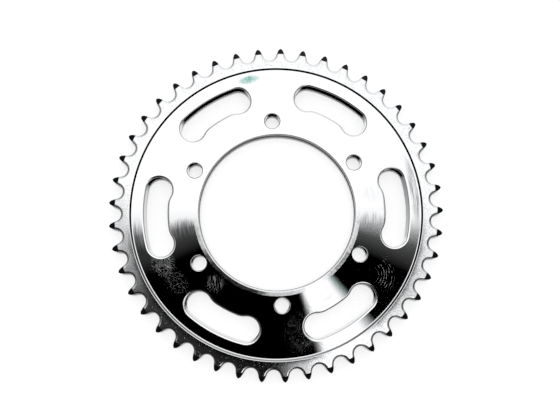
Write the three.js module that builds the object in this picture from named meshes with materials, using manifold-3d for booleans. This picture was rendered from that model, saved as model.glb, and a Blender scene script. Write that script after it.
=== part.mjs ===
// Rear sprocket of a motorcycle: one steel plate, turned, toothed, drilled and slotted.
// Millimetres. +Z is the wheel axis and points away from the wheel; z = 0 is the face
// that seats on the carrier. +Y passes through the middle of the first bolt hole.
import * as THREE from 'three';
import { mergeVertices } from 'three/addons/utils/BufferGeometryUtils.js';
import Module from 'manifold-3d';

// ---- chain and teeth ----
const toothCount = 45;
const chainPitch = 15.875;
const seatRadius = 5.1;            // concave seat for a 10.16 mm roller
const seatHalfAngle = 69;          // degrees, each side of the gap's bottom
const flankRadius = 57;            // convex tooth flank above the seat
const tipRadius = 117.9;
const tipRound = 0.7;              // width of the eased corner of a tooth's crest
const toothClock = -0.3;           // degrees, teeth about +Z from the first bolt hole

// ---- turned blank ----
const rimThickness = 8.7;          // for a chain 3/8 in wide inside
const webThickness = 7.7;
const tipChamferStart = 113.1;     // radius where the crest chamfer leaves each face
const tipChamferDepth = 2.2;       // depth of that chamfer at the tip radius
const stepRadius = 103.2;          // inner edge of the rim's raised face
const stepFoot = 101.2;            // where the step's fillet meets the web
const boreRadius = 55.3;
const boreChamfer = 0.4;
const rearChamfer = 0.4;

// ---- bolt holes ----
const boltCount = 6;
const boltCircleRadius = 65;
const boltHoleRadius = 5.3;
const boltHoleChamfer = 0.5;

// ---- kidney slots, between the bolt holes ----
const slotClock = -0.7;            // degrees, slots about +Z from midway between holes
const slotBevel = 0.8;             // width of the rolled front edge
const slotBevelDepth = 0.4;
const slotOuterRadius = 93.2;
const slotInnerRadius = 76.7;
const slotEndRadius = 9.1;
const slotEndAngle = 12.9;         // degrees, middle of the slot to an end's centre
const slotShoulderRadius = 13;     // rounds the web between the inner edge and an end

const blankSegments = toothCount * 4;
const rad = (degrees) => degrees * Math.PI / 180;
const polar = (radius, degrees) => [radius * Math.cos(rad(degrees)), radius * Math.sin(rad(degrees))];

// ---- solids ----
const wasm = await Module();
wasm.setup();

function toSolid(geometry) {
  const plain = geometry.clone();
  plain.deleteAttribute('normal');
  plain.deleteAttribute('uv');
  const merged = mergeVertices(plain, 1e-5);
  return new wasm.Manifold(new wasm.Mesh({
    numProp: 3,
    vertProperties: new Float32Array(merged.attributes.position.array),
    triVerts: new Uint32Array(merged.index.array),
  }));
}

function toGeometry(solid) {
  const mesh = solid.getMesh();
  const geometry = new THREE.BufferGeometry();
  geometry.setAttribute('position', new THREE.BufferAttribute(new Float32Array(mesh.vertProperties), 3));
  geometry.setIndex(new THREE.BufferAttribute(new Uint32Array(mesh.triVerts), 1));
  const flat = geometry.toNonIndexed();
  flat.computeVertexNormals();
  return flat;
}

// Closed ring turned about +Z from [radius, z] points.
function turned(profile, segments, startDegrees) {
  const points = profile.map(([r, z]) => new THREE.Vector2(r, z));
  points.push(points[0].clone());
  const geometry = new THREE.LatheGeometry(points, segments);
  geometry.rotateX(Math.PI / 2);
  geometry.rotateZ(rad(startDegrees));
  return outward(geometry);
}

// Solid pin turned about +Z; the profile starts and ends on the axis.
function turnedPin(profile, segments) {
  const points = profile.map(([r, z]) => new THREE.Vector2(r, z));
  const geometry = new THREE.LatheGeometry(points, segments);
  geometry.rotateX(Math.PI / 2);
  return outward(geometry);
}

// Skins a stack of matching closed outlines, each at its own height.
function lofted(layers) {
  const count = layers[0].outline.length;
  const position = [];
  for (const layer of layers) {
    for (const [x, y] of layer.outline) {
      position.push(x, y, layer.z);
    }
  }
  const index = [];
  for (let level = 0; level + 1 < layers.length; level += 1) {
    for (let i = 0; i < count; i += 1) {
      const a = level * count + i;
      const b = level * count + (i + 1) % count;
      index.push(a, b, b + count, a, b + count, a + count);
    }
  }
  const contour = layers[0].outline.map(([x, y]) => new THREE.Vector2(x, y));
  const top = (layers.length - 1) * count;
  for (const [a, b, c] of THREE.ShapeUtils.triangulateShape(contour, [])) {
    index.push(a, c, b);
    index.push(top + a, top + b, top + c);
  }
  const geometry = new THREE.BufferGeometry();
  geometry.setAttribute('position', new THREE.Float32BufferAttribute(position, 3));
  geometry.setIndex(index);
  return outward(geometry);
}

// Turns a closed surface's faces outward if they point inward.
function outward(geometry) {
  const plain = mergeVertices(stripped(geometry), 1e-5);
  const p = plain.attributes.position;
  const index = plain.index.array;
  const kept = [];
  let volume = 0;
  for (let i = 0; i < index.length; i += 3) {
    const [a, b, c] = [index[i], index[i + 1], index[i + 2]];
    if (a === b || b === c || c === a) continue;
    kept.push(a, b, c);
    const va = new THREE.Vector3().fromBufferAttribute(p, a);
    const vb = new THREE.Vector3().fromBufferAttribute(p, b);
    const vc = new THREE.Vector3().fromBufferAttribute(p, c);
    volume += va.dot(vb.cross(vc));
  }
  if (volume < 0) {
    kept.reverse();
  }
  plain.setIndex(kept);
  return plain;
}

function stripped(geometry) {
  const plain = geometry.clone();
  plain.deleteAttribute('normal');
  plain.deleteAttribute('uv');
  return plain;
}

// ---- outlines ----
// Points on an arc, end points included.
function arc(centre, radius, fromDegrees, toDegrees, steps) {
  const points = [];
  for (let i = 0; i <= steps; i += 1) {
    const angle = rad(fromDegrees + (toDegrees - fromDegrees) * i / steps);
    points.push([centre[0] + radius * Math.cos(angle), centre[1] + radius * Math.sin(angle)]);
  }
  return points;
}

// Half of one tooth gap, in a frame where +Y runs out through the gap's middle:
// seat, flank, then the eased corner of the crest up to the tooth's middle.
function halfGap() {
  const pitchRadius = chainPitch / (2 * Math.sin(Math.PI / toothCount));
  const seatCentre = [0, pitchRadius];
  const seat = arc(seatCentre, seatRadius, -90, -90 + seatHalfAngle, 5);
  const end = seat[seat.length - 1];
  const out = [Math.cos(rad(-90 + seatHalfAngle)), Math.sin(rad(-90 + seatHalfAngle))];
  const flankCentre = [end[0] + out[0] * flankRadius, end[1] + out[1] * flankRadius];
  const flankStart = 90 + seatHalfAngle;
  const flank = [];
  for (let step = 1; step <= 3; step += 1) {
    const turn = flankStart - step * 1.9;
    const [dx, dy] = [flankRadius * Math.cos(rad(turn)), flankRadius * Math.sin(rad(turn))];
    flank.push([flankCentre[0] + dx, flankCentre[1] + dy]);
  }
  const half = 180 / toothCount;
  const crestMiddle = [tipRadius * Math.sin(rad(half)), tipRadius * Math.cos(rad(half))];
  const last = flank[flank.length - 1];
  const crestAngle = Math.atan2(last[0], last[1]) + tipRound / tipRadius;
  const crest = [tipRadius * Math.sin(crestAngle), tipRadius * Math.cos(crestAngle)];
  return [...seat, ...flank, crest, crestMiddle];
}

function toothOutline() {
  const right = halfGap();
  const left = right.slice(1).map(([x, y]) => [-x, y]);
  const gap = [...right.slice(0, -1).reverse(), ...left];
  const points = [];
  for (let tooth = 0; tooth < toothCount; tooth += 1) {
    const turn = rad(toothClock + tooth * 360 / toothCount);
    for (const [x, y] of gap) {
      points.push([x * Math.cos(turn) - y * Math.sin(turn), x * Math.sin(turn) + y * Math.cos(turn)]);
    }
  }
  return points;
}

// Kidney outline about +X, grown outward by `grow`; every size has the same point count.
function slotOutline(grow) {
  const shoulderReach = slotInnerRadius - slotShoulderRadius;
  const endReach = slotOuterRadius - slotEndRadius;
  const apart = slotShoulderRadius + slotEndRadius;
  const cosine = (shoulderReach ** 2 + endReach ** 2 - apart ** 2) / (2 * shoulderReach * endReach);
  const shoulderAngle = slotEndAngle - Math.acos(cosine) * 180 / Math.PI;
  const end = polar(endReach, slotEndAngle);
  const shoulder = polar(shoulderReach, shoulderAngle);
  const join = Math.atan2(shoulder[1] - end[1], shoulder[0] - end[0]) * 180 / Math.PI;
  const outer = arc([0, 0], slotOuterRadius + grow, 0, slotEndAngle, 8);
  const lobe = arc(end, slotEndRadius + grow, slotEndAngle, join + 360, 12);
  const corner = arc(shoulder, slotShoulderRadius - grow, join + 180, shoulderAngle, 5);
  const inner = arc([0, 0], slotInnerRadius - grow, shoulderAngle, 0, 3);
  const upper = [...outer, ...lobe.slice(1), ...corner.slice(1), ...inner.slice(1)];
  const lower = upper.slice(1, -1).map(([x, y]) => [x, -y]).reverse();
  return [...upper, ...lower];
}

// ---- the plate's features ----
function blank() {
  const run = tipRadius + 2 - tipChamferStart;
  const fall = tipChamferDepth * run / (tipRadius - tipChamferStart);
  return turned([
    [boreRadius, rearChamfer],
    [boreRadius + rearChamfer, 0],
    [tipChamferStart, 0],
    [tipRadius + 2, fall],
    [tipRadius + 2, rimThickness - fall],
    [tipChamferStart, rimThickness],
    [stepRadius, rimThickness],
    [stepRadius - 0.5, rimThickness - 0.22],
    [stepRadius - 0.9, webThickness + 0.3],
    [stepFoot, webThickness],
    [boreRadius + boreChamfer, webThickness],
    [boreRadius, webThickness - boreChamfer],
  ], blankSegments, toothClock + 90);
}

function toothedDisc() {
  const outline = toothOutline();
  return lofted([{ z: -1, outline }, { z: rimThickness + 1, outline }]);
}

function boltHole() {
  const top = webThickness + 1;
  return turnedPin([
    [0, -1],
    [boltHoleRadius + rearChamfer + 1, -1],
    [boltHoleRadius, rearChamfer],
    [boltHoleRadius, webThickness - boltHoleChamfer],
    [boltHoleRadius + boltHoleChamfer + 1, top],
    [0, top],
  ], 32);
}

function slot() {
  const slope = slotBevel / slotBevelDepth;
  const wall = slotOutline(0);
  return lofted([
    { z: -1, outline: wall },
    { z: webThickness - slotBevelDepth, outline: wall },
    { z: webThickness + 0.5, outline: slotOutline(slotBevel + 0.5 * slope) },
  ]);
}

function sprocketPlate() {
  let plate = toSolid(blank()).intersect(toSolid(toothedDisc()));
  for (let i = 0; i < boltCount; i += 1) {
    const turn = 90 + i * 360 / boltCount;
    const [x, y] = polar(boltCircleRadius, turn);
    const hole = boltHole();
    hole.translate(x, y, 0);
    plate = plate.subtract(toSolid(hole));
    const opening = slot();
    opening.rotateZ(rad(turn + 180 / boltCount + slotClock));
    plate = plate.subtract(toSolid(opening));
  }
  return toGeometry(plate);
}

const steel = new THREE.MeshStandardMaterial({ color: 0xc4c6c8, metalness: 1, roughness: 0.25 });
const plate = new THREE.Mesh(sprocketPlate(), steel);
plate.name = 'sprocket_plate';

const sprocket = new THREE.Group();
sprocket.name = 'rear_sprocket';
sprocket.add(plate);

export default sprocket;
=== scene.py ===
# Rear sprocket of a motorcycle: the looks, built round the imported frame.
# Shapes are worked out in millimetres; new_mesh() and mm() turn them into the frame's metres.
import math
from collections import namedtuple

import bmesh
import bpy
from mathutils import Matrix, Vector


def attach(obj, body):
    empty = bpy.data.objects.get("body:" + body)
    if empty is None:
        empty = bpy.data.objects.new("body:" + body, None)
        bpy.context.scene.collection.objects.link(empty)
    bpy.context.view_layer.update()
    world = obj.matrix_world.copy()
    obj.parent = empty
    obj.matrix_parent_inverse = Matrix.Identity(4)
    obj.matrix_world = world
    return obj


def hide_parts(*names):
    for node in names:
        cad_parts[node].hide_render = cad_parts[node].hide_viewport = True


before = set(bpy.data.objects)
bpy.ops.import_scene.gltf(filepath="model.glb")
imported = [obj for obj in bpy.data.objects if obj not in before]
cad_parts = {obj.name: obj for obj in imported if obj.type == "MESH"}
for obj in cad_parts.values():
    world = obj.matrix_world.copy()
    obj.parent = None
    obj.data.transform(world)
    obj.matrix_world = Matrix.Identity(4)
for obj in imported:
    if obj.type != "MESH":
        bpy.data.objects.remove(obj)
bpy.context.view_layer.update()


def mm(value):
    return value / 1000.0


# ---------------------------------------------------------------- driving dimensions
# Millimetres and degrees. A "roll" is the rounded-over edge that shearing or turning leaves.
TEETH = 45
PITCH = 15.875
SEAT_R = 5.1
SEAT_HALF_ANGLE = 69.0
FLANK_R = 57.0
FLANK_SWEEP = 5.0
FLANK_SWEEP_LOST = 1.6      # degrees of flank given up for each millimetre that a gap grows
CREST_EASE = 1.6            # above 1, crest points crowd towards the tip
TIP_R = 117.9
TOOTH_ROLL = 1.8
TOOTH_ROLL_DEPTH = 0.62
TOOTH_CLOCK = -0.3

RIM_Z = 8.7
WEB_Z = 7.7
BLANK_MARGIN = 2.0          # how far the blank stands past the tooth tips before they are cut
TIP_CHAMFER_R = 113.1
TIP_CHAMFER_DEPTH = 2.2
TIP_CHAMFER_ROUND = 0.6
STEP_R = 103.2
STEP_LIP = 0.02
STEP_LIP_DROP = 0.035
STEP_LIP_ROUND = 0.1
STEP_FOOT_R = 100.85
STEP_COVE_ANGLE = 10.5
STEP_COVE_LIFT = 0.8        # the cove rises this share of a true arc's height
STEP_RISER_R = 101.78
STEP_RISER = 1.14
STEP_RISER_ROUND = 0.08
BORE_R = 55.3
BORE_ROLL = 0.6
BORE_ROLL_DEPTH = 0.22
BORE_LAND_R = 58.5
REAR_CHAMFER = 0.4
REAR_ROUND = 0.15

HOLES = 6
HOLE_CIRCLE_R = 65.0
HOLE_R = 5.3
HOLE_CHAMFER = 0.55
HOLE_ROUND = 0.6

SLOT_CLOCK = -0.7
SLOT_ROLL = 1.5
SLOT_ROLL_DEPTH = 0.6
SLOT_OUTER_R = 93.2
SLOT_INNER_R = 76.7
SLOT_END_R = 9.1
SLOT_END_ANGLE = 12.9
SLOT_SHOULDER_R = 13.0
SLOT_REAR_FLARE = 0.5
SLOT_REAR_FLARE_Z = 0.35

ROLL_SHARP = 0.17           # a roll falls away as two curves mixed: their reach, as shares of its
ROLL_BROAD = 0.45           # width, and the sharp one's share of the mix
ROLL_SHARP_SHARE = 0.45
ROLL_CROWDING = 1.5

OVERRUN = 1.0               # how far a cutting shape runs past the face that it cuts
SKIN = 0.03                 # how far it stands off a face where it turns straight

TURNED_STEPS = TEETH * 12
SEAT_STEPS = 12
FLANK_STEPS = 4
CREST_STEPS = 6
COVE_STEPS = 7
ROUND_STEPS = 5
HOLE_STEPS = 72
TOOTH_ROLL_STEPS = 7
BORE_ROLL_STEPS = 7
SLOT_ROLL_STEPS = 9


# ---------------------------------------------------------------- outlines
def arc(cx, cy, radius, start, stop, steps):
    """Points along an arc, both ends included; angles in degrees."""
    points = []
    for i in range(steps + 1):
        a = math.radians(start + (stop - start) * i / steps)
        points.append((cx + radius * math.cos(a), cy + radius * math.sin(a)))
    return points


def turned(points, angle):
    """The points turned about the axis by an angle in radians."""
    c, s = math.cos(angle), math.sin(angle)
    return [(x * c - y * s, x * s + y * c) for x, y in points]


def half_gap(grow):
    """Right half of a tooth gap opening along +Y, widened by grow: seat, flank, crest."""
    pitch_r = PITCH / (2 * math.sin(math.pi / TEETH))
    seat = arc(0, pitch_r, SEAT_R + grow, -90, -90 + SEAT_HALF_ANGLE, SEAT_STEPS)
    out = math.radians(-90 + SEAT_HALF_ANGLE)
    reach = SEAT_R + FLANK_R
    fx, fy = reach * math.cos(out), pitch_r + reach * math.sin(out)
    start = 90 + SEAT_HALF_ANGLE
    stop = start - FLANK_SWEEP + FLANK_SWEEP_LOST * grow
    flank = arc(fx, fy, FLANK_R - grow, start, stop, FLANK_STEPS)[1:]
    half = math.pi / TEETH
    flank_angle = math.atan2(flank[-1][0], flank[-1][1])
    flank_r = math.hypot(*flank[-1])
    crest = []
    for i in range(1, CREST_STEPS + 1):
        t = i / CREST_STEPS
        a = flank_angle + (half - flank_angle) * (1 - (1 - t) ** CREST_EASE)
        r = flank_r + (TIP_R - flank_r) * math.sin(t * math.pi / 2)
        crest.append((r * math.sin(a), r * math.cos(a)))
    return seat + flank + crest


def tooth_outline(grow):
    """The toothed edge, with every gap wider by grow."""
    right = half_gap(grow)
    gap = right[:0:-1] + [(-x, y) for x, y in right[:-1]]
    points = []
    for tooth in range(TEETH):
        points += turned(gap, math.radians(TOOTH_CLOCK + tooth * 360 / TEETH))
    return points


def edge_roll(width, depth, steps):
    """A rolled edge as (grow, drop) pairs: steep at the wall, easing into the face."""
    pairs = []
    for k in range(steps):
        grow = width * (k / steps) ** ROLL_CROWDING
        sharp = math.exp(-grow / (ROLL_SHARP * width)) - math.exp(-1 / ROLL_SHARP)
        broad = math.exp(-grow / (ROLL_BROAD * width)) - math.exp(-1 / ROLL_BROAD)
        drop = depth * (ROLL_SHARP_SHARE * sharp + (1 - ROLL_SHARP_SHARE) * broad)
        pairs.append((grow, drop))
    return pairs


def slot_outline(grow):
    """Kidney outline about +X, grown outward; every size has the same number of points."""
    shoulder_reach = SLOT_INNER_R - SLOT_SHOULDER_R
    end_reach = SLOT_OUTER_R - SLOT_END_R
    apart = SLOT_SHOULDER_R + SLOT_END_R
    cosine = (shoulder_reach**2 + end_reach**2 - apart**2) / (2 * shoulder_reach * end_reach)
    shoulder_angle = SLOT_END_ANGLE - math.degrees(math.acos(cosine))
    ea, sa = math.radians(SLOT_END_ANGLE), math.radians(shoulder_angle)
    ex, ey = end_reach * math.cos(ea), end_reach * math.sin(ea)
    sx, sy = shoulder_reach * math.cos(sa), shoulder_reach * math.sin(sa)
    join = math.degrees(math.atan2(sy - ey, sx - ex))
    outer = arc(0, 0, SLOT_OUTER_R + grow, 0, SLOT_END_ANGLE, 14)
    lobe = arc(ex, ey, SLOT_END_R + grow, SLOT_END_ANGLE, join + 360, 30)[1:]
    corner = arc(sx, sy, SLOT_SHOULDER_R - grow, join + 180, shoulder_angle, 12)[1:]
    inner = arc(0, 0, SLOT_INNER_R - grow, shoulder_angle, 0, 8)[1:]
    upper = outer + lobe + corner + inner
    return upper + [(x, -y) for x, y in upper[-2:0:-1]]


def eased(corners, closed):
    """Rounds the corners of an (r, z, radius) profile into short arcs."""
    count = len(corners)
    points = []
    for i, (r, z, radius) in enumerate(corners):
        if radius <= 0 or (not closed and i in (0, count - 1)):
            points.append((r, z))
            continue
        here = Vector((r, z))
        before = (Vector(corners[i - 1][:2]) - here).normalized()
        after = (Vector(corners[(i + 1) % count][:2]) - here).normalized()
        half = before.angle(after) / 2
        reach = radius / math.tan(half)
        centre = here + (before + after).normalized() * radius / math.sin(half)
        a, b = here + before * reach - centre, here + after * reach - centre
        for k in range(ROUND_STEPS + 1):
            p = centre + a.lerp(b, k / ROUND_STEPS).normalized() * radius
            points.append((p.x, p.y))
    return points


# ---------------------------------------------------------------- meshes
def new_mesh(name, verts, faces):
    """An object in the scene, from vertices in millimetres."""
    mesh = bpy.data.meshes.new(name)
    mesh.from_pydata([(mm(x), mm(y), mm(z)) for x, y, z in verts], [], faces)
    mesh.update()
    piece = bpy.data.objects.new(name, mesh)
    bpy.context.scene.collection.objects.link(piece)
    return piece


def ring_turned(name, profile, steps, start):
    """Closed ring turned about Z; the profile runs counter-clockwise in (r, z)."""
    verts, faces = [], []
    count = len(profile)
    for i in range(steps):
        a = math.radians(start + 360 * i / steps)
        verts += [(r * math.cos(a), r * math.sin(a), z) for r, z in profile]
    for i in range(steps):
        j = (i + 1) % steps
        for k in range(count):
            m = (k + 1) % count
            faces.append((i * count + k, j * count + k, j * count + m, i * count + m))
    return new_mesh(name, verts, faces)


def lofted(name, layers):
    """Closed skin over a stack of (z, outline) layers, lowest first, outlines counter-clockwise."""
    count = len(layers[0][1])
    verts = [(x, y, z) for z, outline in layers for x, y in outline]
    faces = []
    for level in range(len(layers) - 1):
        base = level * count
        for i in range(count):
            j = (i + 1) % count
            faces.append((base + i, base + j, base + j + count, base + i + count))
    top = (len(layers) - 1) * count
    faces.append(tuple(reversed(range(count))))
    faces.append(tuple(top + i for i in range(count)))
    return new_mesh(name, verts, faces)


def step_cove():
    """Corners of the shallow curve at the foot of the ring step, from the riser inward."""
    radius = (STEP_RISER_R - STEP_FOOT_R) / math.sin(math.radians(STEP_COVE_ANGLE))
    corners = []
    for k in range(COVE_STEPS, -1, -1):
        a = math.radians(STEP_COVE_ANGLE * k / COVE_STEPS)
        rise = STEP_COVE_LIFT * radius * (1 - math.cos(a))
        corners.append((STEP_FOOT_R + radius * math.sin(a), WEB_Z + rise, 0))
    return corners


def blank():
    """The turned disc, before its teeth, holes and slots are cut."""
    edge_r = TIP_R + BLANK_MARGIN
    fall = TIP_CHAMFER_DEPTH * (edge_r - TIP_CHAMFER_R) / (TIP_R - TIP_CHAMFER_R)
    corners = [
        (BORE_R, REAR_CHAMFER, REAR_ROUND),
        (BORE_R + REAR_CHAMFER, 0, REAR_ROUND),
        (TIP_CHAMFER_R, 0, TIP_CHAMFER_ROUND),
        (edge_r, fall, 0),
        (edge_r, RIM_Z - fall, 0),
        (TIP_CHAMFER_R, RIM_Z, TIP_CHAMFER_ROUND),
        (STEP_R + STEP_LIP, RIM_Z, STEP_LIP_ROUND),
        (STEP_RISER_R + STEP_RISER, RIM_Z - STEP_LIP_DROP, STEP_RISER_ROUND),
    ]
    corners += step_cove()
    corners.append((BORE_LAND_R, WEB_Z, 0))
    corners.append((BORE_R + BORE_ROLL, WEB_Z, 0))
    for grow, drop in reversed(edge_roll(BORE_ROLL, BORE_ROLL_DEPTH, BORE_ROLL_STEPS)):
        corners.append((BORE_R + grow, WEB_Z - drop, 0))
    return ring_turned("blank", eased(corners, True), TURNED_STEPS, TOOTH_CLOCK + 90)


def hole_centre(index):
    """Middle of one bolt hole; the first is at the top."""
    a = math.radians(90 + 360 * index / HOLES)
    return HOLE_CIRCLE_R * math.cos(a), HOLE_CIRCLE_R * math.sin(a)


def bolt_hole(index):
    """Cutting shape of one bolt hole, flared at both ends for its chamfers."""
    cx, cy = hole_centre(index)
    sides = [
        (HOLE_R + REAR_CHAMFER + OVERRUN, -OVERRUN, 0),
        (HOLE_R, REAR_CHAMFER, REAR_ROUND),
        (HOLE_R, WEB_Z - HOLE_CHAMFER, HOLE_ROUND),
        (HOLE_R + HOLE_CHAMFER + OVERRUN, WEB_Z + OVERRUN, 0),
    ]
    layers = []
    for r, z in eased(sides, False):
        layers.append((z, arc(cx, cy, r, 0, 360, HOLE_STEPS)[:-1]))
    return lofted("bolt_hole", layers)


def rolled_layers(face_z, width, depth, steps):
    """(z, grow) layers of a cutting shape, up through a rolled edge and past the face."""
    layers = [(face_z - drop, grow) for grow, drop in edge_roll(width, depth, steps)]
    return layers + [(face_z + SKIN, width), (face_z + OVERRUN, width)]


def slot(index):
    """Cutting shape of one lightening slot, midway between two bolt holes."""
    turn = math.radians(90 + 360 * (index + 0.5) / HOLES + SLOT_CLOCK)
    layers = [(-OVERRUN, SLOT_REAR_FLARE), (SLOT_REAR_FLARE_Z, 0.0)]
    layers += rolled_layers(WEB_Z, SLOT_ROLL, SLOT_ROLL_DEPTH, SLOT_ROLL_STEPS)
    return lofted("slot", [(z, turned(slot_outline(grow), turn)) for z, grow in layers])


def toothed_disc():
    """Solid whose overlap with the blank is the toothed plate."""
    layers = [(-OVERRUN, 0.0)]
    layers += rolled_layers(RIM_Z, TOOTH_ROLL, TOOTH_ROLL_DEPTH, TOOTH_ROLL_STEPS)
    return lofted("teeth", [(z, tooth_outline(grow)) for z, grow in layers])


def cut(piece, tool, operation):
    """Applies one boolean to the piece and removes the tool."""
    step = piece.modifiers.new("cut", "BOOLEAN")
    step.operation = operation
    step.solver = "EXACT"
    step.object = tool
    bpy.context.view_layer.update()
    evaluated = piece.evaluated_get(bpy.context.evaluated_depsgraph_get())
    shaped = bpy.data.meshes.new_from_object(evaluated)
    piece.modifiers.clear()
    old = piece.data
    piece.data = shaped
    bpy.data.meshes.remove(old)
    bpy.data.objects.remove(tool)


def joined(name, parts):
    """One object from several that don't touch."""
    mesh = bpy.data.meshes.new(name)
    build = bmesh.new()
    for part in parts:
        build.from_mesh(part.data)
        bpy.data.objects.remove(part)
    build.to_mesh(mesh)
    build.free()
    piece = bpy.data.objects.new(name, mesh)
    bpy.context.scene.collection.objects.link(piece)
    return piece


def plate_mesh():
    """The whole plate: blank, then teeth, then holes and slots."""
    plate = blank()
    cut(plate, toothed_disc(), "INTERSECT")
    cutters = [bolt_hole(i) for i in range(HOLES)] + [slot(i) for i in range(HOLES)]
    cut(plate, joined("cutters", cutters), "DIFFERENCE")
    plate.name = "sprocket_body"
    plate.data.name = "sprocket_body"
    return plate


# ---------------------------------------------------------------- which finish goes where
# A face's lean is its normal's height: 1 is level, 0 is upright.
STEEP = 0.35
NEARLY_LEVEL = 0.995
LEVEL = 0.999
STRICTLY_LEVEL = 0.9999
REAR_LEVEL = 0.9
TIP_CHAMFER_LEAN = (0.88, 0.92)
UPRIGHT = 0.02
SMOOTH_BELOW = 28.0
EDGE_MARGIN = 0.05          # the rest are millimetres
SUNK = 0.02
TIP_MARGIN = 0.12
BORE_MARGIN = 0.5
MERGE_BELOW = 0.001

REGIONS = ["turned_web", "bore_land", "bore_wall", "step_fillet", "pitted_rim", "crest_chamfer",
           "cut_wall", "drilled_wall", "rolled_edge", "rear_face"]


def region(x, y, z, nz):
    """Which finish a face takes, from its middle in millimetres and its normal's height."""
    r = math.hypot(x, y)
    steep = abs(nz) < STEEP
    hole_gap = min(math.dist((x, y), hole_centre(i)) for i in range(HOLES))
    at_hole = hole_gap < HOLE_R + HOLE_CHAMFER + EDGE_MARGIN
    if at_hole and (steep or nz < NEARLY_LEVEL or z < WEB_Z - SUNK):
        return "drilled_wall" if steep else "rolled_edge"
    if steep:
        return "bore_wall" if r < BORE_R + BORE_MARGIN else "cut_wall"
    if nz < -REAR_LEVEL and z < EDGE_MARGIN:
        return "rear_face"
    if r > TIP_CHAMFER_R + TIP_MARGIN and TIP_CHAMFER_LEAN[0] < abs(nz) < TIP_CHAMFER_LEAN[1]:
        return "crest_chamfer"
    if nz < 0:
        return "rear_face"
    if r > STEP_R + STEP_LIP:
        return "pitted_rim" if nz > LEVEL else "rolled_edge"
    if r > STEP_FOOT_R:
        return "step_fillet"
    if nz < LEVEL:
        return "rolled_edge"
    return "bore_land" if r < BORE_LAND_R else "turned_web"


def finish_surfaces(plate):
    """Material slots by region, and shading that stays flat on flats and smooth on curves."""
    for name in REGIONS:
        plate.data.materials.append(MATERIALS[name])
    build = bmesh.new()
    build.from_mesh(plate.data)
    bmesh.ops.dissolve_degenerate(build, dist=mm(MERGE_BELOW), edges=build.edges)
    for face in build.faces:
        middle = face.calc_center_median() * 1000
        face.material_index = REGIONS.index(region(*middle, face.normal.z))
        face.smooth = True
    for edge in build.edges:
        if len(edge.link_faces) != 2:
            continue
        flats = [abs(f.normal.z) > STRICTLY_LEVEL for f in edge.link_faces]
        walls = [abs(f.normal.z) < UPRIGHT for f in edge.link_faces]
        same = flats[0] == flats[1] and walls[0] == walls[1]
        edge.smooth = same and edge.calc_face_angle(0) < math.radians(SMOOTH_BELOW)
    build.to_mesh(plate.data)
    build.free()


# ---------------------------------------------------------------- shader helpers
class Nodes:
    """Short names for building one node tree. A value is a socket, a number or (r, g, b)."""

    def __init__(self, tree):
        self.tree = tree
        tree.nodes.clear()

    def add(self, kind, **settings):
        """A new node, with its settings."""
        node = self.tree.nodes.new(kind)
        for key, value in settings.items():
            setattr(node, key, value)
        return node

    def link(self, source, target):
        self.tree.links.new(source, target)

    def put(self, socket, value):
        """Feeds a socket from another one, or sets its number or colour."""
        if isinstance(value, bpy.types.NodeSocket):
            self.link(value, socket)
        elif socket.type == "RGBA":
            socket.default_value = (*value, 1.0)
        else:
            socket.default_value = value

    def math(self, operation, *values, clamp=False):
        """The result of one sum."""
        node = self.add("ShaderNodeMath", operation=operation, use_clamp=clamp)
        for socket, value in zip(node.inputs, values):
            self.put(socket, value)
        return node.outputs[0]

    def vector(self, operation, value, numbers):
        """The result of one sum on a vector, with three numbers."""
        node = self.add("ShaderNodeVectorMath", operation=operation)
        self.link(value, node.inputs[0])
        node.inputs[1].default_value = numbers
        return node.outputs[0]

    def split(self, value):
        """The three parts of a vector."""
        node = self.add("ShaderNodeSeparateXYZ")
        self.link(value, node.inputs[0])
        return node.outputs

    def inverse(self, value):
        """1 less the value."""
        return self.math("SUBTRACT", 1.0, value)

    def length(self, x, y):
        """How far (x, y) is from the origin."""
        squares = self.math("MULTIPLY", x, x), self.math("MULTIPLY", y, y)
        return self.math("SQRT", self.math("ADD", *squares))

    def azimuth(self, x, y):
        """Where (x, y) lies round the origin: 0 to 1, counter-clockwise from +X."""
        return self.math("FRACT", self.math("DIVIDE", self.math("ARCTAN2", y, x), 2 * math.pi))

    def between(self, value, low, high):
        """0 below low, 1 above high, smooth between."""
        node = self.add("ShaderNodeMapRange", interpolation_type="SMOOTHSTEP", clamp=True)
        self.put(node.inputs["Value"], value)
        node.inputs["From Min"].default_value = low
        node.inputs["From Max"].default_value = high
        return node.outputs["Result"]

    def mix(self, factor, a, b, blend="MIX"):
        """Colour a where the factor is 0, and b where it is 1."""
        node = self.add("ShaderNodeMix", data_type="RGBA", blend_type=blend, clamp_factor=True)
        self.put(node.inputs[0], factor)
        self.put(node.inputs[6], a)
        self.put(node.inputs[7], b)
        return node.outputs[2]

    def ramp(self, factor, stops):
        """Greys through (place, brightness) stops, straight between them."""
        node = self.add("ShaderNodeValToRGB")
        band = node.color_ramp
        while len(band.elements) < len(stops):
            band.elements.new(1.0)
        for element, (place, grey) in zip(band.elements, stops):
            element.position = place
            element.color = (grey, grey, grey, 1.0)
        self.put(node.inputs[0], factor)
        return node.outputs[0]

    def noise(self, value, scale, detail=3.0, roughness=0.5, dims="3D"):
        """Noise from 0 to 1, over a vector or, in 1D, over a number."""
        node = self.add("ShaderNodeTexNoise", noise_dimensions=dims)
        node.inputs["Scale"].default_value = scale
        node.inputs["Detail"].default_value = detail
        node.inputs["Roughness"].default_value = roughness
        self.put(node.inputs["W" if dims == "1D" else "Vector"], value)
        return node.outputs["Fac"]


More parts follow.
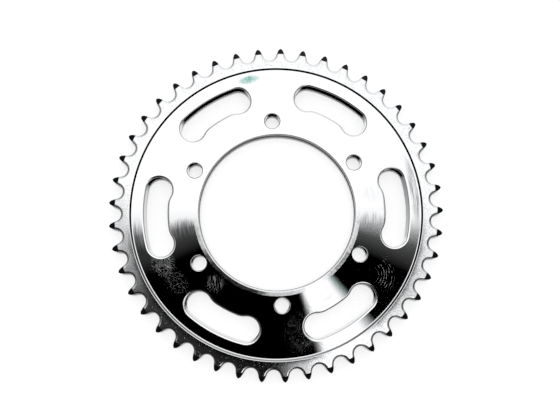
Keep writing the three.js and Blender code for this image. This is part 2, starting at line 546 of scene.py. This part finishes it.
def metal(name, colour, roughness, anisotropy=0.0):
    """A bare metal material; returns it with its node helper and its shader node."""
    material = bpy.data.materials.new(name)
    material.use_nodes = True
    n = Nodes(material.node_tree)
    out = n.add("ShaderNodeOutputMaterial")
    shader = n.add("ShaderNodeBsdfPrincipled")
    shader.inputs["Metallic"].default_value = 1.0
    shader.inputs["Base Color"].default_value = (*colour, 1.0)
    shader.inputs["Roughness"].default_value = roughness
    shader.inputs["Anisotropic"].default_value = anisotropy
    n.link(shader.outputs["BSDF"], out.inputs["Surface"])
    return material, n, shader


Place = namedtuple("Place", "point radius turn height")


def part_place(n):
    """Where a shaded point lies in the part: millimetres, and its turn round the axis, 0 to 1."""
    coords = n.add("ShaderNodeTexCoord").outputs["Object"]
    point = n.vector("MULTIPLY", coords, (1000.0, 1000.0, 1000.0))
    x, y, z = n.split(point)
    return Place(point, n.length(x, y), n.azimuth(x, y), z)


def bump(n, shader, height, strength, distance):
    """Roughens the surface by a height; distance is the full height in millimetres."""
    node = n.add("ShaderNodeBump")
    node.inputs["Strength"].default_value = strength
    node.inputs["Distance"].default_value = mm(distance)
    n.link(height, node.inputs["Height"])
    n.link(node.outputs[0], shader.inputs["Normal"])


def round_grain(n, shader):
    """Draws highlights out across circular tool marks; the shader's rotation is in turns."""
    tangent = n.add("ShaderNodeTangent", direction_type="RADIAL", axis="Z")
    n.link(tangent.outputs[0], shader.inputs["Tangent"])
    shader.inputs["Anisotropic Rotation"].default_value = 0.25


# ---------------------------------------------------------------- finishes
STEEL = (0.80, 0.81, 0.82)
RIM_GREY = (0.82, 0.83, 0.84)
RIM_DARK = (0.56, 0.57, 0.58)
PIT = (0.08, 0.08, 0.09)
# Painted reflection: the near-black of the tooth-tip chamfers stands for the dark surroundings they
# mirror.
CHAMFER_DARK_REFLECTION = (0.016, 0.018, 0.022)
# Painted shade: the dark line along the ring step's riser.
RISER_SHADE = (0.05, 0.05, 0.055)
# Painted shade and painted light for the bore wall: dark at the back, where it meets the floor, and
# pale towards the front.
BORE_WALL_SHADE = (0.02, 0.02, 0.022)
BORE_WALL_LIT = (0.92, 0.93, 0.94)
# Painted shade: the dark of the web's streaky patches, mostly where its mirrored bright bands fade
# out.
BAND_SHADE = (0.10, 0.10, 0.11)
GREEN = (0.42, 0.74, 0.64)
TEAL = (0.10, 0.32, 0.28)

# Patches of the web: radius and azimuth of the middle, half the width, half the sweep, then a
# weight where there is one, in millimetres and degrees.
RUBBED_PATCHES = [
    (87, 201, 11, 9, 0.18, "swirls"),
    (85, 212, 11, 10, 0.11, "grit"),
    (66, 226, 9, 8, 0.08, "brushed"),
    (84, 277, 20, 11, 0.07, "grit"),
]
# Patches of painted shade, mostly where the web's mirrored bright bands fade out.
BAND_SHADE_PATCHES = [
    (99.5, 7, 5.5, 17, 0.9),
    (67, 8, 9, 8, 0.16),
    (66, 187, 12, 8, 0.75),
    (98, 188, 6, 10, 0.75),
    (66, 352, 12, 7, 0.45),
    (66, 297, 10, 8, 0.22),
]
TORN_PATCHES = [(84, 288, 30, 5), (84, 345, 30, 12)]
GREEN_PATCHES = [(66, 308, 14, 4), (97, 311.5, 5, 3.5)]
TEAL_PATCH = (96.8, 99, 3.8, 5.8)

SCRATCH_CENTRE = (62.0, -47.0)
SCRATCH_SPACING = 1.9
SCRATCH_SWEEP = (0.6, 1.1)
SCRATCH_WEIGHT = 0.1

# How scuffed the bore's margin is round the axis: (turn from 0 to 1, wear).
BORE_WEAR = [
    (0.0, 0.3), (0.05, 0.0), (0.50, 0.0), (0.515, 0.9), (0.545, 1.0), (0.57, 0.15), (0.62, 0.03),
    (0.70, 0.06), (0.72, 0.25), (0.735, 0.8), (0.78, 0.9), (0.80, 0.1), (0.85, 0.25),
    (0.90, 0.25), (0.93, 0.5), (0.96, 0.9), (1.0, 0.3),
]


def patch(n, at, middle_r, azimuth, half_width, half_sweep):
    """1 in the middle of a patch of the face, fading to 0 at its edge."""
    across = n.math("DIVIDE", n.math("SUBTRACT", at.radius, middle_r), half_width)
    away = n.math("WRAP", n.math("SUBTRACT", at.turn, azimuth / 360), 0.5, -0.5)
    along = n.math("DIVIDE", away, half_sweep / 360)
    return n.inverse(n.between(n.length(across, along), 0.4, 1.0))


def swirl_marks(n, point):
    """Thin wandering hairlines: the level lines of a slow noise."""
    level = n.noise(point, scale=0.14, detail=2.0)
    fold = n.math("PINGPONG", n.math("MULTIPLY", level, 16.0), 0.5)
    return n.inverse(n.between(fold, 0.02, 0.2))


def arc_scratches(n, point):
    """Hairline arcs round one point of the web, broken up along their length."""
    x, y, _ = n.split(n.vector("SUBTRACT", point, (*SCRATCH_CENTRE, WEB_Z)))
    reach = n.length(x, y)
    wander = n.math("MULTIPLY", n.noise(point, scale=0.12, detail=1.0), 1.2)
    turns = n.math("ADD", n.math("DIVIDE", reach, SCRATCH_SPACING), wander)
    lines = n.inverse(n.between(n.math("PINGPONG", turns, 0.5), 0.03, 0.15))
    broken = n.between(n.noise(point, scale=0.3, detail=2.0, roughness=0.6), 0.36, 0.56)
    ring = n.math("MULTIPLY", n.between(reach, 4.0, 8.0), n.inverse(n.between(reach, 15.0, 20.0)))
    bearing = n.math("ABSOLUTE", n.math("ARCTAN2", y, x))
    window = n.inverse(n.between(bearing, *SCRATCH_SWEEP))
    return n.math("MULTIPLY", n.math("MULTIPLY", lines, broken), n.math("MULTIPLY", ring, window))


def long_streaks(n, at):
    """Noise drawn out round the axis."""
    grain = n.add("ShaderNodeCombineXYZ")
    n.link(n.math("MULTIPLY", at.radius, 1.1), grain.inputs["X"])
    n.link(n.math("MULTIPLY", at.turn, 26.0), grain.inputs["Y"])
    return n.noise(grain.outputs[0], scale=1.0, detail=4.0, roughness=0.65)


def rubbed_patches(n, at):
    """How much rougher than polished the web is, in its rubbed patches and scratches."""
    grit = n.noise(at.point, scale=1.1, detail=4.0, roughness=0.75)
    brushed = n.noise(n.vector("MULTIPLY", at.point, (0.9, 0.1, 0.0)), scale=1.0, roughness=0.6)
    textures = {
        "swirls": swirl_marks(n, at.point),
        "grit": n.between(grit, 0.42, 0.66),
        "brushed": n.between(brushed, 0.40, 0.60),
    }
    rubbed = n.math("MULTIPLY", arc_scratches(n, at.point), SCRATCH_WEIGHT)
    for *spot, weight, texture in RUBBED_PATCHES:
        amount = n.math("MULTIPLY", patch(n, at, *spot), textures[texture])
        rubbed = n.math("ADD", rubbed, n.math("MULTIPLY", amount, weight))
    return rubbed


def web_colour(n, at, streaks):
    """Steel, with dark streaky patches of painted shade, mostly where the mirrored bright bands fade
    out, faint green ones and a small heat-tinted one.
    """
    # How strongly each point takes the painted shade.
    dull = 0.0
    for *spot, weight in BAND_SHADE_PATCHES:
        dull = n.math("ADD", dull, n.math("MULTIPLY", patch(n, at, *spot), weight))
    band_shaded = n.math("MULTIPLY", n.between(streaks, 0.34, 0.64), dull)
    colour = n.mix(band_shaded, STEEL, BAND_SHADE)
    slow = n.noise(at.point, scale=0.3, roughness=0.6)
    cloud = n.math("MULTIPLY_ADD", slow, 1.5, -0.05, clamp=True)
    inner, outer = [patch(n, at, *spot) for spot in GREEN_PATCHES]
    green = n.math("MULTIPLY", n.math("MAXIMUM", inner, outer), n.math("MULTIPLY", cloud, 0.7))
    colour = n.mix(green, colour, GREEN)
    return n.mix(n.math("MULTIPLY", patch(n, at, *TEAL_PATCH), cloud), colour, TEAL)


def turned_web():
    """Polished face: round tool marks, rubbed patches, streaky patches of painted shade, hairlines
    and heat tints.
    """
    material, n, shader = metal("turned_web", STEEL, roughness=0.04, anisotropy=0.9)
    at = part_place(n)
    round_grain(n, shader)
    marks = n.noise(at.radius, scale=2.2, detail=4.0, roughness=0.65, dims="1D")
    streaks = long_streaks(n, at)
    rough = n.math("ADD", n.math("MULTIPLY", marks, 0.015), n.math("MULTIPLY", streaks, 0.012))
    n.link(n.math("ADD", rough, rubbed_patches(n, at)), shader.inputs["Roughness"])
    ragged = n.noise(at.point, scale=0.7, detail=4.0, roughness=0.7)
    frayed = n.math("MAXIMUM", *[patch(n, at, *spot) for spot in TORN_PATCHES])
    torn = n.math("MULTIPLY", ragged, n.math("MULTIPLY_ADD", frayed, 3.0, 1.0))
    bump(n, shader, n.math("ADD", n.math("MULTIPLY", marks, 0.35), torn), 0.3, 0.006)
    n.link(web_colour(n, at, streaks), shader.inputs["Base Color"])
    return material


def bore_land():
    """The web's inner margin, scuffed where the hub's spigot rubs it."""
    material, n, shader = metal("bore_land", STEEL, roughness=0.05, anisotropy=0.8)
    at = part_place(n)
    round_grain(n, shader)
    scuff = n.between(n.noise(at.point, scale=0.35, detail=4.0, roughness=0.65), 0.42, 0.60)
    worn = n.math("MULTIPLY", n.math("MULTIPLY_ADD", scuff, 0.5, 0.5), n.ramp(at.turn, BORE_WEAR))
    n.link(n.math("MULTIPLY_ADD", worn, 0.48, 0.03), shader.inputs["Roughness"])
    bump(n, shader, n.noise(at.point, scale=0.7, detail=4.0, roughness=0.7), 0.3, 0.006)
    return material


def bore_wall():
    """Bored in rings round the axis, duller than the drilled holes; its colour is painted shade
    towards the back and painted light towards the front.
    """
    material, n, shader = metal("bore_wall", STEEL, roughness=0.55)
    shader.inputs["Metallic"].default_value = 0.4
    at = part_place(n)
    rings = n.math("MULTIPLY", n.noise(at.height, scale=2.0, detail=2.0, dims="1D"), 0.2)
    # Share of painted light: 0 at the back of the bore wall, rising towards the front.
    lit_share = n.math("ADD", n.between(at.height, 1.5, 7.5), rings)
    n.link(n.mix(lit_share, BORE_WALL_SHADE, BORE_WALL_LIT), shader.inputs["Base Color"])
    bump(n, shader, n.noise(at.height, scale=3.0, detail=2.0, dims="1D"), 0.25, 0.03)
    return material


def step_fillet():
    """Turned step, with a line of painted shade along its riser."""
    material, n, shader = metal("step_fillet", STEEL, roughness=0.05, anisotropy=0.5)
    at = part_place(n)
    round_grain(n, shader)
    riser_top = STEP_RISER_R + STEP_RISER
    inside = n.between(at.radius, STEP_RISER_R - 0.1, STEP_RISER_R + 0.3)
    outside = n.between(at.radius, riser_top - 0.15, riser_top + 0.15)
    # A band of painted shade over the riser.
    riser_shade = n.math("MULTIPLY", n.math("MULTIPLY", inside, n.inverse(outside)), 0.65)
    n.link(n.mix(riser_shade, STEEL, RISER_SHADE), shader.inputs["Base Color"])
    return material


def specks(n, point, scale, inner, outer, empty_share):
    """Scattered round dots, 1 inside a dot; empty_share of the cells have none."""
    cells = n.add("ShaderNodeTexVoronoi", feature="F1")
    n.link(point, cells.inputs["Vector"])
    cells.inputs["Scale"].default_value = scale
    dot = n.inverse(n.between(cells.outputs["Distance"], inner, outer))
    draw = n.add("ShaderNodeSeparateColor")
    n.link(cells.outputs["Color"], draw.inputs[0])
    return n.math("MULTIPLY", dot, n.math("GREATER_THAN", draw.outputs[0], empty_share))


def pitted_rim():
    """Rim face left as rolled: fine grain, matt grains that glint or dull, and dark pits."""
    material, n, shader = metal("pitted_rim", STEEL, roughness=0.07)
    at = part_place(n)
    grains = specks(n, at.point, scale=0.9, inner=0.06, outer=0.25, empty_share=0.62)
    pits = specks(n, at.point, scale=0.42, inner=0.06, outer=0.16, empty_share=0.55)
    grit = n.between(n.noise(at.point, scale=1.3, roughness=0.75), 0.40, 0.64)
    cloud = n.between(n.noise(at.point, scale=0.2, roughness=0.6), 0.35, 0.65)
    dark = n.math("MULTIPLY", grit, n.math("MULTIPLY_ADD", cloud, 0.6, 0.4))
    n.link(n.mix(pits, n.mix(dark, RIM_GREY, RIM_DARK), PIT), shader.inputs["Base Color"])
    rough = n.math("MULTIPLY_ADD", grit, 0.07, 0.04)
    n.link(n.math("MULTIPLY_ADD", grains, 0.5, rough), shader.inputs["Roughness"])
    bump(n, shader, n.noise(at.point, scale=1.2, detail=4.0, roughness=0.7), 0.3, 0.01)
    return material


def crest_chamfer():
    """Chamfers of the tooth tips, painted near-black: a painted dark reflection of the surroundings
    they face.
    """
    material, n, shader = metal("crest_chamfer", CHAMFER_DARK_REFLECTION, roughness=0.3)
    at = part_place(n)
    bump(n, shader, n.noise(at.point, scale=1.5, roughness=0.6), 0.2, 0.03)
    return material


def cut_wall():
    """Walls of the teeth and slots, lined through the plate's thickness."""
    material, n, shader = metal("cut_wall", STEEL, roughness=0.1)
    drawn_out = n.vector("MULTIPLY", part_place(n).point, (1.0, 1.0, 0.08))
    bump(n, shader, n.noise(drawn_out, scale=1.6, roughness=0.6), 0.25, 0.04)
    return material


def drilled_wall():
    """Walls of the bolt holes, with faint rings from the drill."""
    material, n, shader = metal("drilled_wall", STEEL, roughness=0.1)
    at = part_place(n)
    bump(n, shader, n.noise(at.height, scale=2.0, detail=2.0, dims="1D"), 0.25, 0.03)
    return material


def rolled_edge():
    """Rounded-over edges, a little lumpy."""
    material, n, shader = metal("rolled_edge", STEEL, roughness=0.1)
    at = part_place(n)
    bump(n, shader, n.noise(at.point, scale=0.6, detail=4.0, roughness=0.65), 0.35, 0.09)
    return material


def rear_face():
    """The back: faced in rings, and duller than the web."""
    material, n, shader = metal("rear_face", STEEL, roughness=0.28, anisotropy=0.6)
    at = part_place(n)
    round_grain(n, shader)
    bump(n, shader, n.noise(at.radius, scale=2.6, detail=4.0, roughness=0.6, dims="1D"), 0.1, 0.02)
    return material


FINISHES = [turned_web, bore_land, bore_wall, step_fillet, pitted_rim, crest_chamfer, cut_wall,
            drilled_wall, rolled_edge, rear_face]
MATERIALS = {finish.__name__: finish() for finish in FINISHES}


# ---------------------------------------------------------------- camera
# It looks down on the web face from 350 mm above the rim, less than 4 degrees off the vertical.
LENS = 32.143
SENSOR_WIDTH = 36.0
CAMERA_NEAR = 0.01
CAMERA_FAR = 20.0
CAMERA_LEAN = (-0.063, 0.023, 0.036)        # axis of the lean, as long as its angle in radians
CAMERA_CLOCK = 1.002                        # degrees round the part's axis
RIM_FROM_CAMERA = (-1.981, -1.485, -350.079)    # the rim's middle in the camera's axes


def camera():
    """The main view's camera."""
    data = bpy.data.cameras.new("camera")
    data.sensor_width = SENSOR_WIDTH
    data.lens = LENS
    data.clip_start, data.clip_end = CAMERA_NEAR, CAMERA_FAR
    cam = bpy.data.objects.new("camera", data)
    bpy.context.scene.collection.objects.link(cam)
    lean = Vector(CAMERA_LEAN)
    turn = Matrix.Rotation(lean.length, 3, lean.normalized())
    clock = Matrix.Rotation(math.radians(CAMERA_CLOCK), 3, "Z")
    from_camera = (turn @ clock).transposed()
    place = from_camera @ -Vector(RIM_FROM_CAMERA) / 1000.0 + Vector((0, 0, mm(RIM_Z)))
    cam.matrix_world = Matrix.Translation(place) @ from_camera.to_4x4()
    bpy.context.scene.camera = cam


# ---------------------------------------------------------------- studio
# What the metal reflects depends on the direction. A table gives the brightness at azimuths in
# degrees, counter-clockwise from +X. An edge fades over two numbers. Round the top they are
# distances from APEX, with a direction taken as (x, y) / z; below that they are the direction's
# z, from -1 straight down to 1 straight up.
APEX = (0.0183, 0.0591)
CAP_WHITE = 1.3
CAP_EDGE = (0.13, 0.15)
TOP_EDGE = (0.2905, 0.2930)
OUTER_EDGE = (0.84, 0.92)
SIDE_EDGE = (0.58, 0.68)
HORIZON_TOP = (0.40, 0.50)
HORIZON_FOOT = (0.02, 0.12)
UNDER_EDGE = (-0.85, -0.75)
LEAST_Z = 0.05
TOP_LIGHT = [
    (0, 1.3), (168, 1.4), (182, 1.1), (187, 0.27), (193, 0.05), (203, 0.0), (283.5, 0.0), (286, 1.4),
    (302, 1.4), (309, 0.0), (332, 0.0), (343, 0.09), (348, 0.4), (355, 1.2),
]
OUTER_LIGHT = [
    (0, 1.3), (165, 1.4), (180, 0.95), (210, 0.05), (268, 0.0), (284, 1.5), (305, 1.5), (325, 0.92),
    (355, 1.3),
]
SIDE_LIGHT = [
    (0, 0.3), (30, 0.95), (105, 1.0), (165, 0.25), (205, 0.02), (325, 0.02), (345, 0.08),
]
LOW_LIGHT = [
    (0, 0.0), (30, 0.3), (60, 0.95), (95, 1.0), (135, 0.05), (180, 0.0),
]
UNDER_LIGHT = [
    (0, 0.75), (50, 0.95), (130, 1.0), (165, 0.5), (205, 0.0), (325, 0.0), (350, 0.45),
]
HORIZON = 0.45
SOFT_FRONT = 0.32
SOFT_BACK = 0.62
WHITE = (1.0, 1.0, 1.0)

SUN_POWER = 2.12
SUN_SPREAD = 10.0
SUN_LEAN = 9.0
FLOOR_HALF_SIDE = 3.0
FLOOR_GREY = 0.93


def grey(brightness):
    return (brightness, brightness, brightness)


def reflected_studio(n, x, y, z):
    """Brightness each way for reflections: the five tables, a white cap and a grey horizon."""
    high = n.math("MAXIMUM", z, LEAST_Z)
    u = n.math("SUBTRACT", n.math("DIVIDE", x, high), APEX[0])
    v = n.math("SUBTRACT", n.math("DIVIDE", y, high), APEX[1])
    spread, top_turn, plain_turn = n.length(u, v), n.azimuth(u, v), n.azimuth(x, y)

    def band(turn, table):
        return n.ramp(turn, [(azimuth / 360, brightness) for azimuth, brightness in table])

    colour = n.mix(n.between(spread, *CAP_EDGE), grey(CAP_WHITE), band(top_turn, TOP_LIGHT))
    colour = n.mix(n.between(spread, *TOP_EDGE), colour, band(top_turn, OUTER_LIGHT))
    colour = n.mix(n.between(z, *OUTER_EDGE), band(plain_turn, SIDE_LIGHT), colour)
    colour = n.mix(n.between(z, *SIDE_EDGE), band(plain_turn, LOW_LIGHT), colour)
    above_foot, above_top = n.between(z, *HORIZON_FOOT), n.between(z, *HORIZON_TOP)
    glow = n.math("MULTIPLY", above_foot, n.inverse(above_top))
    colour = n.mix(glow, colour, grey(HORIZON), "LIGHTEN")
    return n.mix(n.between(z, *UNDER_EDGE), band(plain_turn, UNDER_LIGHT), colour)


def studio():
    """Surroundings that differ by kind of light: reflections see the tables, dull surfaces see
    a plain grey that brightens towards +Y, and the open background is white."""
    world = bpy.data.worlds.new("studio")
    bpy.context.scene.world = world
    world.use_nodes = True
    world.cycles.sampling_method = "NONE"
    n = Nodes(world.node_tree)
    out = n.add("ShaderNodeOutputWorld")
    x, y, z = n.split(n.add("ShaderNodeTexCoord").outputs["Generated"])
    back = n.math("MULTIPLY_ADD", y, 0.5, 0.5, clamp=True)
    soft = n.mix(back, grey(SOFT_FRONT), grey(SOFT_BACK))
    path = n.add("ShaderNodeLightPath")
    colour = n.mix(path.outputs["Is Glossy Ray"], soft, reflected_studio(n, x, y, z))
    colour = n.mix(path.outputs["Is Camera Ray"], colour, WHITE)
    shade = n.add("ShaderNodeBackground")
    n.link(colour, shade.inputs["Color"])
    n.link(shade.outputs[0], out.inputs["Surface"])


def sun():
    """The floor's key light, nearly overhead; the metal doesn't mirror it."""
    data = bpy.data.lights.new("key", "SUN")
    data.energy = SUN_POWER
    data.angle = math.radians(SUN_SPREAD)
    lamp = bpy.data.objects.new("key", data)
    bpy.context.scene.collection.objects.link(lamp)
    lamp.rotation_euler = (math.radians(-SUN_LEAN), 0.0, 0.0)
    lamp.visible_glossy = False


def floor():
    """A plain pale floor under the rear face; the metal doesn't mirror it."""
    data = bpy.data.meshes.new("floor")
    side = FLOOR_HALF_SIDE
    data.from_pydata([(-side, -side, 0), (side, -side, 0), (side, side, 0), (-side, side, 0)],
                     [], [(0, 1, 2, 3)])
    ground = bpy.data.objects.new("floor", data)
    bpy.context.scene.collection.objects.link(ground)
    material = bpy.data.materials.new("floor_white")
    material.use_nodes = True
    n = Nodes(material.node_tree)
    out = n.add("ShaderNodeOutputMaterial")
    shade = n.add("ShaderNodeBsdfDiffuse")
    n.put(shade.inputs["Color"], grey(FLOOR_GREY))
    n.link(shade.outputs[0], out.inputs["Surface"])
    data.materials.append(material)
    ground.visible_glossy = False


camera()
studio()
sun()
floor()
bpy.context.scene.view_settings.view_transform = "Standard"

plate = plate_mesh()
finish_surfaces(plate)
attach(plate, "root")
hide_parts("sprocket_plate")
